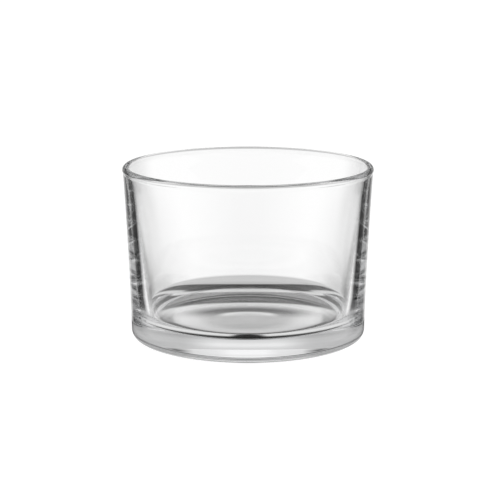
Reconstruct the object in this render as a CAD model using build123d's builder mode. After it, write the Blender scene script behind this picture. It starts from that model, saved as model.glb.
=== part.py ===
from build123d import *
from math import sqrt
import os

# A heavy-based crystallizing dish: one piece of clear pressed glass, round, open at
# the top and a little wider there than at the foot. Millimetres, +Z up. The origin is
# on the axis, in the plane that the dish stands on.

# Outside
rim_diameter = 100.0  # widest, over the bead of the rim
height = 69.5
foot_diameter = 93.7  # outer wall carried down to the table, before its corner is rounded
wall_hollow = 0.3  # how far the outer wall bows in from a straight cone at mid-height
foot_corner_radius = 3.4

# Rim: the fire polish melts the cut edge into a full round, a little proud of the wall
rim_thickness = 2.9
bead_overhang = 0.3
bead_fillet_radius = 3.0  # the hollow where the bead dies into the wall

# Inside
foot_wall = 6.25  # from the foot's radius in to the bowl's at its floor, before rounding
floor_thickness = 8.1  # at the edge of the floor, over the standing ring
floor_crown = 0.2  # how much higher the middle of the floor is
bowl_fillet_radius = 6.0

# Underside: a very shallow dome, so that the dish stands on a ring
standing_ring_width = 7.0
dome_height = 0.2

# The rim's round, and where it meets the wall's outer line
rim_round = rim_thickness / 2
rim_radius = rim_diameter / 2
rim_centre_radius = rim_radius - rim_round
rim_centre_height = height - rim_round
wall_top_radius = rim_radius - bead_overhang
wall_top_height = rim_centre_height - sqrt(rim_round**2 - (rim_round - bead_overhang) ** 2)
foot_radius = foot_diameter / 2

# The outer wall is an arc through the foot, a point bowed in at mid-height, and the bead
wall_middle = ((foot_radius + wall_top_radius) / 2 - wall_hollow, wall_top_height / 2)

# The inner wall is a straight cone from the rim's round down to the floor
bowl_floor_radius = foot_radius - foot_wall
bowl_mouth_radius = rim_radius - rim_thickness

# The standing ring runs inward from the rounded corner, and the dome starts there
dome_radius = foot_radius - foot_corner_radius - standing_ring_width

with BuildPart() as dish:
    with BuildSketch(Plane.XZ) as half_section:
        with BuildLine() as outline:
            bowl_floor = TangentArc(
                (0, floor_thickness + floor_crown),
                (bowl_floor_radius, floor_thickness),
                tangent=(1, 0),
            )
            bowl_wall = Line(bowl_floor @ 1, (bowl_mouth_radius, rim_centre_height))
            rim = ThreePointArc(
                bowl_wall @ 1, (rim_centre_radius, height), (wall_top_radius, wall_top_height)
            )
            outer_wall = ThreePointArc(rim @ 1, wall_middle, (foot_radius, 0))
            dome = TangentArc((0, dome_height), (dome_radius, 0), tangent=(1, 0))
            standing_ring = Line(outer_wall @ 1, dome @ 1)
            axis_line = Line(dome @ 0, bowl_floor @ 0)
        make_face()
        rounded_corners = {
            (bowl_floor_radius, floor_thickness): bowl_fillet_radius,
            (wall_top_radius, wall_top_height): bead_fillet_radius,
            (foot_radius, 0): foot_corner_radius,
        }
        for corner, radius in rounded_corners.items():
            fillet(half_section.vertices().sort_by_distance(corner)[0], radius)
    revolve(axis=Axis.Z)
dish.part.label = "dish"

os.makedirs("parts", exist_ok=True)
export_step(dish.part, "parts/dish.step")
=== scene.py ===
import math

import bpy
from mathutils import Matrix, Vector


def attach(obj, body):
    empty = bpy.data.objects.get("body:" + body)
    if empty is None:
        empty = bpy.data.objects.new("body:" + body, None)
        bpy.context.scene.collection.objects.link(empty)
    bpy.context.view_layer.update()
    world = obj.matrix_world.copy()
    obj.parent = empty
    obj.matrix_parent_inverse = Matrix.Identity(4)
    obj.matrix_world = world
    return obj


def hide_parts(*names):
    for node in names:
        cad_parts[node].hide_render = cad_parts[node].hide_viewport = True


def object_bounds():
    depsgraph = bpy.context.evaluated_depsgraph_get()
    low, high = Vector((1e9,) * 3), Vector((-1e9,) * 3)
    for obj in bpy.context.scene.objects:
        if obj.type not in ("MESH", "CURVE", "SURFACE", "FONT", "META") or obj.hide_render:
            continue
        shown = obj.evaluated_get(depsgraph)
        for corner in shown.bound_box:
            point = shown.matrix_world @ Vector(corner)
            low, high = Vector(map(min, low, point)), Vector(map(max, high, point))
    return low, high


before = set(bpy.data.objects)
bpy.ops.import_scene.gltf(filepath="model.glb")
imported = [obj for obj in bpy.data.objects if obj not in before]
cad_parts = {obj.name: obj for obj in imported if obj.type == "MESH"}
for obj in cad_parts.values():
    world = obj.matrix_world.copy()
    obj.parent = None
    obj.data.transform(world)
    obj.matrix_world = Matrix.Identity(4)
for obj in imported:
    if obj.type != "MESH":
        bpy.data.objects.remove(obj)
cad_low, cad_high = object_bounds()


# ---------------------------------------------------------------- camera and picture
# A long lens on a tripod, a little above the rim and level with the horizon, so that
# both the open mouth and the thick base show. The dish stands a touch left of centre.
camera_distance = 0.703
camera_elevation = math.radians(11.87)
aim = Vector((0.0, 0.0, 0.035))
away = Vector((0.0, -math.cos(camera_elevation), math.sin(camera_elevation)))

scene = bpy.context.scene
camera_data = bpy.data.cameras.new("studio_camera")
camera_data.sensor_width = 36.0
camera_data.lens = 126.0
camera_data.shift_x = 0.004
camera_data.clip_start = 0.01
camera_data.clip_end = 50.0
camera = bpy.data.objects.new("studio_camera", camera_data)
camera.location = aim + away * camera_distance
camera.rotation_mode = "QUATERNION"
camera.rotation_quaternion = (-away).to_track_quat("-Z", "Y")
scene.collection.objects.link(camera)
scene.camera = camera
scene.view_settings.view_transform = "Standard"

# Light runs round inside the thick base by many total reflections before it comes out
scene.cycles.max_bounces = 32
scene.cycles.transmission_bounces = 24
scene.cycles.glossy_bounces = 24


# ---------------------------------------------------------------- the dish
# One pressing of clear soda-lime glass: the mould forms the outside and the foot, a
# plunger forms the bowl, and the cut rim is melted to a full round in the flame. Nothing
# is joined to it. The outline is turned about the axis finely enough to bend light smoothly.
height = cad_high.z
rim_radius = cad_high.x
rim_thickness = 0.0029
bead_overhang = 0.0003
bead_fillet = 0.003
foot_radius = 0.04685
wall_hollow = 0.0003
foot_corner = 0.0034
foot_wall = 0.00625
floor_thickness = 0.0081
floor_crown = 0.0002
bowl_fillet = 0.006
standing_ring = 0.007
dome_height = 0.0002

# How finely the outline's stretches and the turn about the axis are divided
turns = 720
floor_steps = 12
bowl_fillet_steps = 20
bowl_wall_steps = 8
rim_steps = 30
bead_fillet_steps = 6
outer_wall_steps = 20
corner_steps = 14
dome_steps = 12

rim_round = rim_thickness / 2
rim_centre = (rim_radius - rim_round, height - rim_round)
wall_top_radius = rim_radius - bead_overhang
wall_top_height = rim_centre[1] - math.sqrt(rim_round**2 - (rim_round - bead_overhang) ** 2)
mouth_radius = rim_radius - rim_thickness
floor_radius = foot_radius - foot_wall


def arc(centre, radius, start, end, steps):
    """Points of an arc in the plane of radius and height, both ends included."""
    angles = [start + (end - start) * i / steps for i in range(steps + 1)]
    return [(centre[0] + radius * math.cos(a), centre[1] + radius * math.sin(a)) for a in angles]


def cap(radius, edge, rise, steps):
    """A shallow cap from its middle on the axis out to its edge."""
    sphere = (radius**2 + rise**2) / (2 * rise)
    distances = [radius * i / steps for i in range(steps + 1)]
    return [(x, edge + rise - sphere + math.sqrt(sphere**2 - x**2)) for x in distances]


def outer_wall(z):
    """Radius of the outer wall at a height: a cone that bows in a little at mid-height."""
    share = z / wall_top_height
    cone = foot_radius + (wall_top_radius - foot_radius) * share
    return cone - 4 * wall_hollow * share * (1 - share)


# The bowl: a floor that rises a little at its middle, the fillet, and the plain cone
wall_angle = math.atan2(rim_centre[1] - floor_thickness, mouth_radius - floor_radius)
fillet_reach = bowl_fillet * math.tan(wall_angle / 2)
fillet_centre = (floor_radius - fillet_reach, floor_thickness + bowl_fillet)
fillet_end = wall_angle - math.pi / 2
outline = cap(fillet_centre[0], floor_thickness, floor_crown, floor_steps)
outline += arc(fillet_centre, bowl_fillet, -math.pi / 2, fillet_end, bowl_fillet_steps)[1:]
wall_foot = outline[-1]
for i in range(1, bowl_wall_steps):
    share = i / bowl_wall_steps
    x = wall_foot[0] + (mouth_radius - wall_foot[0]) * share
    z = wall_foot[1] + (rim_centre[1] - wall_foot[1]) * share
    outline.append((x, z))

# The rim's round, and the hollow where its bead dies into the wall
hollow_x = outer_wall(rim_centre[1] - bead_fillet / 2) + bead_fillet
hollow_drop = math.sqrt((rim_round + bead_fillet) ** 2 - (hollow_x - rim_centre[0]) ** 2)
meeting = math.atan2(-hollow_drop, hollow_x - rim_centre[0])
hollow_centre = (hollow_x, rim_centre[1] - hollow_drop)
outline += arc(rim_centre, rim_round, math.pi, meeting, rim_steps)
outline += arc(hollow_centre, bead_fillet, meeting + math.pi, math.pi, bead_fillet_steps)[1:]

# The outer wall, its rounded corner, the standing ring and the shallow dome inside it
wall_high = outline[-1][1]
for i in range(1, outer_wall_steps + 1):
    z = wall_high + (foot_corner - wall_high) * i / outer_wall_steps
    outline.append((outer_wall(z), z))
corner_centre = (outer_wall(foot_corner) - foot_corner, foot_corner)
outline += arc(corner_centre, foot_corner, 0.0, -math.pi / 2, corner_steps)[1:]
outline += cap(corner_centre[0] - standing_ring, 0.0, dome_height, dome_steps)[::-1]

vertices = []
rings = []
for x, z in outline:
    if x == 0.0:
        rings.append([len(vertices)] * turns)
        vertices.append((0.0, 0.0, z))
        continue
    rings.append(list(range(len(vertices), len(vertices) + turns)))
    for k in range(turns):
        angle = 2 * math.pi * k / turns
        vertices.append((x * math.cos(angle), x * math.sin(angle), z))
faces = []
for lower, upper in zip(rings, rings[1:]):
    for k in range(turns):
        following = (k + 1) % turns
        corners = [lower[k], upper[k], upper[following], lower[following]]
        faces.append([c for n, c in enumerate(corners) if c not in corners[:n]])

dish_mesh = bpy.data.meshes.new("dish_glass")
dish_mesh.from_pydata(vertices, [], faces)
dish_mesh.polygons.foreach_set("use_smooth", [True] * len(faces))
dish_mesh.update()
dish = bpy.data.objects.new("dish_glass", dish_mesh)
scene.collection.objects.link(dish)


def add_node(tree, kind, settings=None, links=None):
    """Adds a node, sets its properties, sockets and ramp stops, and links its inputs."""
    node = tree.nodes.new(kind)
    for name, value in (settings or {}).items():
        if name == "stops":
            elements = node.color_ramp.elements
            elements.remove(elements[1])
            for n, (place, tone) in enumerate(value.items()):
                element = elements[0] if n == 0 else elements.new(place)
                element.position = place
                element.color = (tone, tone, tone, 1.0)
        elif isinstance(name, int) or name in node.inputs:
            node.inputs[name].default_value = value
        else:
            setattr(node, name, value)
    for name, source in (links or {}).items():
        tree.links.new(source, node.inputs[name])
    return node


def linear(code):
    """An sRGB hex colour as linear RGBA."""
    values = []
    for i in (0, 2, 4):
        c = int(code[i : i + 2], 16) / 255
        values.append(c / 12.92 if c <= 0.04045 else ((c + 0.055) / 1.055) ** 2.4)
    return (*values, 1.0)


# Clear soda-lime glass, fire-polished: no haze, a sharp reflection, and hardly any
# colour except where the eye looks a long way through it.
soda_lime_glass = bpy.data.materials.new("soda_lime_glass_fire_polished")
soda_lime_glass.use_nodes = True
glass_tree = soda_lime_glass.node_tree
glass_tree.nodes.clear()
glass_surface = add_node(
    glass_tree,
    "ShaderNodeBsdfPrincipled",
    {"Base Color": linear("ffffff"), "Roughness": 0.0, "IOR": 1.52, "Transmission Weight": 1.0},
)
glass_body = add_node(
    glass_tree,
    "ShaderNodeVolumeAbsorption",
    {"Color": linear("d6d9de"), "Density": 1.5},
)
add_node(
    glass_tree,
    "ShaderNodeOutputMaterial",
    {},
    {"Surface": glass_surface.outputs[0], "Volume": glass_body.outputs[0]},
)
dish_mesh.materials.append(soda_lime_glass)
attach(dish, "root")
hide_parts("dish")


# ---------------------------------------------------------------- the table
# A wide matt white sheet. Straight to the eye it is white, with the dish's faint shadow.
# The glass meets other tones than the eye does, tuned to draw the arcs in its base: soft
# painted rings of light and shade glow on a small patch round the foot; no sheet past it.
table_half = 6.0
table_drop = 0.00002
table_mesh = bpy.data.meshes.new("light_table")
table_corners = [(-1, -1), (1, -1), (1, 1), (-1, 1)]
table_mesh.from_pydata(
    [(table_half * x, table_half * y, -table_drop) for x, y in table_corners], [], [(0, 1, 2, 3)]
)
table = bpy.data.objects.new("light_table", table_mesh)
scene.collection.objects.link(table)


def spread(tones, whole):
    """Ramp stops, from tones at places that are given in millimetres or degrees."""
    return {place / whole: tone for place, tone in tones.items()}


# Tones of the painted rings of light and shade by distance in millimetres: behind the axis,
# where they are drawn out sideways, and before it, where a small painted shadow lies near
# the foot's edge
patch_mm = 62
patch_fade_mm = 56
ring_flattening = 0.5
painted_rings_behind = {
    0: 0.4, 3: 0.6, 5: 0.9, 7: 0.0, 10: 0.0, 12.5: 0.4, 15.5: 1.0, 18.5: 1.0, 20.5: 0.0,
    35: 0.0, 37: 0.7, 40: 0.6, 42: 0.0, 49.5: 0.0, 51: 0.5, 56: 0.6, 62: 0.75,
}
painted_rings_before = {
    0: 0.4, 8: 0.3, 16: 0.35, 22: 0.65, 27: 0.7, 30: 0.5, 31.5: 0.0, 37.5: 0.0,
    40: 0.7, 44: 0.8, 49: 0.3, 52: 0.3, 56: 0.6, 62: 0.7,
}
behind_until = math.radians(70)
before_from = math.radians(105)
# A small painted shadow near the front of the foot: its middle, its dark core and its soft edge
painted_shadow_centre = (0, -0.038, 0)
painted_shadow_core = 0.005
painted_shadow_edge = 0.0095
sheet_light = 0.95

table_sheet = bpy.data.materials.new("matt_white_sheet_painted_rings")
table_sheet.use_nodes = True
tree = table_sheet.node_tree
tree.nodes.clear()
place = add_node(tree, "ShaderNodeNewGeometry").outputs["Position"]
distance = add_node(tree, "ShaderNodeVectorMath", {"operation": "LENGTH"}, {0: place})
reach = add_node(
    tree,
    "ShaderNodeMath",
    {"operation": "DIVIDE", 1: patch_mm / 1000},
    {0: distance.outputs["Value"]},
)
flattened = add_node(
    tree, "ShaderNodeVectorMath", {"operation": "MULTIPLY", 1: (ring_flattening, 1, 1)}, {0: place}
)
depth = add_node(tree, "ShaderNodeVectorMath", {"operation": "LENGTH"}, {0: flattened.outputs[0]})
depth_reach = add_node(
    tree, "ShaderNodeMath", {"operation": "DIVIDE", 1: patch_mm / 1000}, {0: depth.outputs["Value"]}
)
behind = add_node(
    tree,
    "ShaderNodeValToRGB",
    {"stops": spread(painted_rings_behind, patch_mm)},
    {0: depth_reach.outputs[0]},
)
before = add_node(
    tree, "ShaderNodeValToRGB", {"stops": spread(painted_rings_before, patch_mm)}, {0: reach.outputs[0]}
)
axes = add_node(tree, "ShaderNodeSeparateXYZ", {}, {0: place})
sideways = add_node(tree, "ShaderNodeMath", {"operation": "ABSOLUTE"}, {0: axes.outputs[0]})
turn = add_node(
    tree, "ShaderNodeMath", {"operation": "ARCTAN2"}, {0: sideways.outputs[0], 1: axes.outputs[1]}
)
round_to_front = add_node(
    tree,
    "ShaderNodeMapRange",
    {"interpolation_type": "SMOOTHSTEP", 1: behind_until, 2: before_from},
    {0: turn.outputs[0]},
)
# Painted light and shade: the ring tones behind and before the axis, blended round the turn
painted_ring_tone = add_node(
    tree,
    "ShaderNodeMix",
    {"data_type": "RGBA"},
    {0: round_to_front.outputs[0], 6: behind.outputs[0], 7: before.outputs[0]},
)
# The painted shadow darkens the painted rings near the foot's front edge
painted_shadow_distance = add_node(
    tree, "ShaderNodeVectorMath", {"operation": "DISTANCE", 1: painted_shadow_centre}, {0: place}
)
off_painted_shadow = add_node(
    tree,
    "ShaderNodeMapRange",
    {"interpolation_type": "SMOOTHSTEP", 1: painted_shadow_core, 2: painted_shadow_edge},
    {0: painted_shadow_distance.outputs["Value"]},
)
painted_patch_tone = add_node(
    tree, "ShaderNodeMath", {"operation": "MULTIPLY"}, {0: painted_ring_tone.outputs[2], 1: off_painted_shadow.outputs[0]}
)
# The patch glows with the painted light and shade, and only the glass sees it
patch = add_node(tree, "ShaderNodeEmission", {}, {"Strength": painted_patch_tone.outputs[0]})
past_patch = add_node(
    tree,
    "ShaderNodeMapRange",
    {"interpolation_type": "SMOOTHSTEP", 1: patch_fade_mm / 1000, 2: patch_mm / 1000},
    {0: distance.outputs["Value"]},
)
open_air = add_node(tree, "ShaderNodeBsdfTransparent")
to_glass = add_node(
    tree,
    "ShaderNodeMixShader",
    {},
    {0: past_patch.outputs[0], 1: patch.outputs[0], 2: open_air.outputs[0]},
)
sheet_glow = add_node(tree, "ShaderNodeEmission", {"Strength": sheet_light})
sheet_matt = add_node(tree, "ShaderNodeBsdfDiffuse", {"Color": linear("959595")})
to_eye = add_node(
    tree, "ShaderNodeAddShader", {}, {0: sheet_glow.outputs[0], 1: sheet_matt.outputs[0]}
)
eye = add_node(tree, "ShaderNodeLightPath").outputs["Is Camera Ray"]
sheet = add_node(
    tree, "ShaderNodeMixShader", {}, {0: eye, 1: to_glass.outputs[0], 2: to_eye.outputs[0]}
)
add_node(tree, "ShaderNodeOutputMaterial", {}, {"Surface": sheet.outputs[0]})
table_mesh.materials.append(table_sheet)


# ---------------------------------------------------------------- the studio round it
# Straight to the eye it is all white. The glass meets other tones, tuned to draw its dark
# edges and arcs: a backdrop with dark gaps, dim walls and a dim room, and, below eye level,
# a dark flag on each side. They stand for no plain studio's light.
quarter_turn = 90
half_turn = 180

# Tones above the horizon, by the angle of rise in degrees
backdrop_tones = {
    0: 1.0, 3: 0.8, 5: 0.2, 8: 0.2, 9: 0.9, 9.7: 0.9, 11.5: 0.0, 13: 0.1, 14.5: 0.8,
    15: 0.95, 16: 0.55, 24: 0.35, 30: 0.6, 45: 0.4, 55: 0.0,
}
wall_tones = {
    0: 0.4, 10.5: 0.4, 11.5: 0.0, 13: 0.1, 14.5: 0.55, 20: 0.4, 26: 0.9, 40: 0.5, 70: 0.4, 90: 0.1,
}
room_tones = {0: 0.6, 13: 0.6, 17: 0.0, 27: 0.0, 34: 0.6, 70: 0.4, 90: 0.1}
backdrop_until = math.radians(8)
walls_from = math.radians(25)
walls_until = math.radians(80)
room_from = math.radians(100)

# Shade below it: down the flags and the sheet's far end by the angle of drop, and across
# the flags, which are wide at the top and narrower at the foot, by the angle from straight
# behind. The last stops are the dark round the camera.
flag_height_shades = {0: 0.5, 8: 0.7, 13: 0.7, 15: 1.0, 28: 1.0, 33: 0.0}
sheet_end_shades = {19.5: 0.0, 22: 0.12, 24.5: 0.4}
flag_top_shades = {5: 0.0, 10: 0.15, 19: 0.25, 27: 1.0, 50: 1.0, 68: 0.0, 120: 0.0, 170: 0.5}
flag_foot_shades = {
    4: 0.0, 7: 0.15, 10: 0.33, 16: 0.38, 22: 1.0, 36: 1.0, 44: 0.0, 120: 0.0, 170: 0.5,
}
flag_top_until = math.radians(18)
flag_foot_from = math.radians(21)

studio = bpy.data.worlds.new("white_studio")
studio.use_nodes = True
scene.world = studio
tree = studio.node_tree
tree.nodes.clear()
toward = add_node(tree, "ShaderNodeTexCoord").outputs["Generated"]
axes = add_node(tree, "ShaderNodeSeparateXYZ", {}, {0: toward})
sideways = add_node(tree, "ShaderNodeMath", {"operation": "ABSOLUTE"}, {0: axes.outputs[0]})
turn = add_node(
    tree, "ShaderNodeMath", {"operation": "ARCTAN2"}, {0: sideways.outputs[0], 1: axes.outputs[1]}
)
turn_share = add_node(tree, "ShaderNodeMath", {"operation": "DIVIDE", 1: math.pi}, {0: turn.outputs[0]})
rise = add_node(tree, "ShaderNodeMath", {"operation": "ARCSINE"}, {0: axes.outputs[2]})
rise_share = add_node(
    tree, "ShaderNodeMath", {"operation": "DIVIDE", 1: math.pi / 2}, {0: rise.outputs[0]}
)
backdrop = add_node(
    tree,
    "ShaderNodeValToRGB",
    {"stops": spread(backdrop_tones, quarter_turn)},
    {0: rise_share.outputs[0]},
)
walls = add_node(
    tree,
    "ShaderNodeValToRGB",
    {"stops": spread(wall_tones, quarter_turn)},
    {0: rise_share.outputs[0]},
)
room = add_node(
    tree,
    "ShaderNodeValToRGB",
    {"stops": spread(room_tones, quarter_turn)},
    {0: rise_share.outputs[0]},
)
round_to_walls = add_node(
    tree,
    "ShaderNodeMapRange",
    {"interpolation_type": "SMOOTHSTEP", 1: backdrop_until, 2: walls_from},
    {0: turn.outputs[0]},
)
round_to_room = add_node(
    tree,
    "ShaderNodeMapRange",
    {"interpolation_type": "SMOOTHSTEP", 1: walls_until, 2: room_from},
    {0: turn.outputs[0]},
)
far_half = add_node(
    tree,
    "ShaderNodeMix",
    {"data_type": "RGBA"},
    {0: round_to_walls.outputs[0], 6: backdrop.outputs[0], 7: walls.outputs[0]},
)
above = add_node(
    tree,
    "ShaderNodeMix",
    {"data_type": "RGBA"},
    {0: round_to_room.outputs[0], 6: far_half.outputs[2], 7: room.outputs[0]},
)

# The flags, and the grey far end of the sheet between them
drop = add_node(tree, "ShaderNodeMath", {"operation": "MULTIPLY", 1: -1.0}, {0: rise.outputs[0]})
drop_share = add_node(
    tree, "ShaderNodeMath", {"operation": "MULTIPLY", 1: -1.0}, {0: rise_share.outputs[0]}
)
flag_height = add_node(
    tree,
    "ShaderNodeValToRGB",
    {"stops": spread(flag_height_shades, quarter_turn)},
    {0: drop_share.outputs[0]},
)
flag_top = add_node(
    tree,
    "ShaderNodeValToRGB",
    {"stops": spread(flag_top_shades, half_turn)},
    {0: turn_share.outputs[0]},
)
flag_foot = add_node(
    tree,
    "ShaderNodeValToRGB",
    {"stops": spread(flag_foot_shades, half_turn)},
    {0: turn_share.outputs[0]},
)
down_the_flag = add_node(
    tree,
    "ShaderNodeMapRange",
    {"interpolation_type": "SMOOTHSTEP", 1: flag_top_until, 2: flag_foot_from},
    {0: drop.outputs[0]},
)
flag_width = add_node(
    tree,
    "ShaderNodeMix",
    {"data_type": "RGBA"},
    {0: down_the_flag.outputs[0], 6: flag_top.outputs[0], 7: flag_foot.outputs[0]},
)
flag = add_node(
    tree,
    "ShaderNodeMath",
    {"operation": "MULTIPLY"},
    {0: flag_height.outputs[0], 1: flag_width.outputs[2]},
)
sheet_end = add_node(
    tree,
    "ShaderNodeValToRGB",
    {"stops": spread(sheet_end_shades, quarter_turn)},
    {0: drop_share.outputs[0]},
)
sheet_end_behind = add_node(
    tree,
    "ShaderNodeMix",
    {"data_type": "RGBA", 7: linear("000000")},
    {0: round_to_walls.outputs[0], 6: sheet_end.outputs[0]},
)
shade = add_node(
    tree,
    "ShaderNodeMath",
    {"operation": "MAXIMUM"},
    {0: flag.outputs[0], 1: sheet_end_behind.outputs[2]},
)
below = add_node(tree, "ShaderNodeMath", {"operation": "SUBTRACT", 0: 1.0}, {1: shade.outputs[0]})
under_horizon = add_node(
    tree, "ShaderNodeMath", {"operation": "LESS_THAN", 1: 0.0}, {0: rise.outputs[0]}
)
surround = add_node(
    tree,
    "ShaderNodeMix",
    {"data_type": "RGBA"},
    {0: under_horizon.outputs[0], 6: above.outputs[2], 7: below.outputs[0]},
)
eye = add_node(tree, "ShaderNodeLightPath").outputs["Is Camera Ray"]
strength = add_node(
    tree, "ShaderNodeMix", {"data_type": "FLOAT", 3: 1.0}, {0: eye, 2: surround.outputs[2]}
)
air = add_node(
    tree, "ShaderNodeBackground", {"Color": linear("ffffff")}, {"Strength": strength.outputs[0]}
)
add_node(tree, "ShaderNodeOutputWorld", {}, {"Surface": air.outputs[0]})
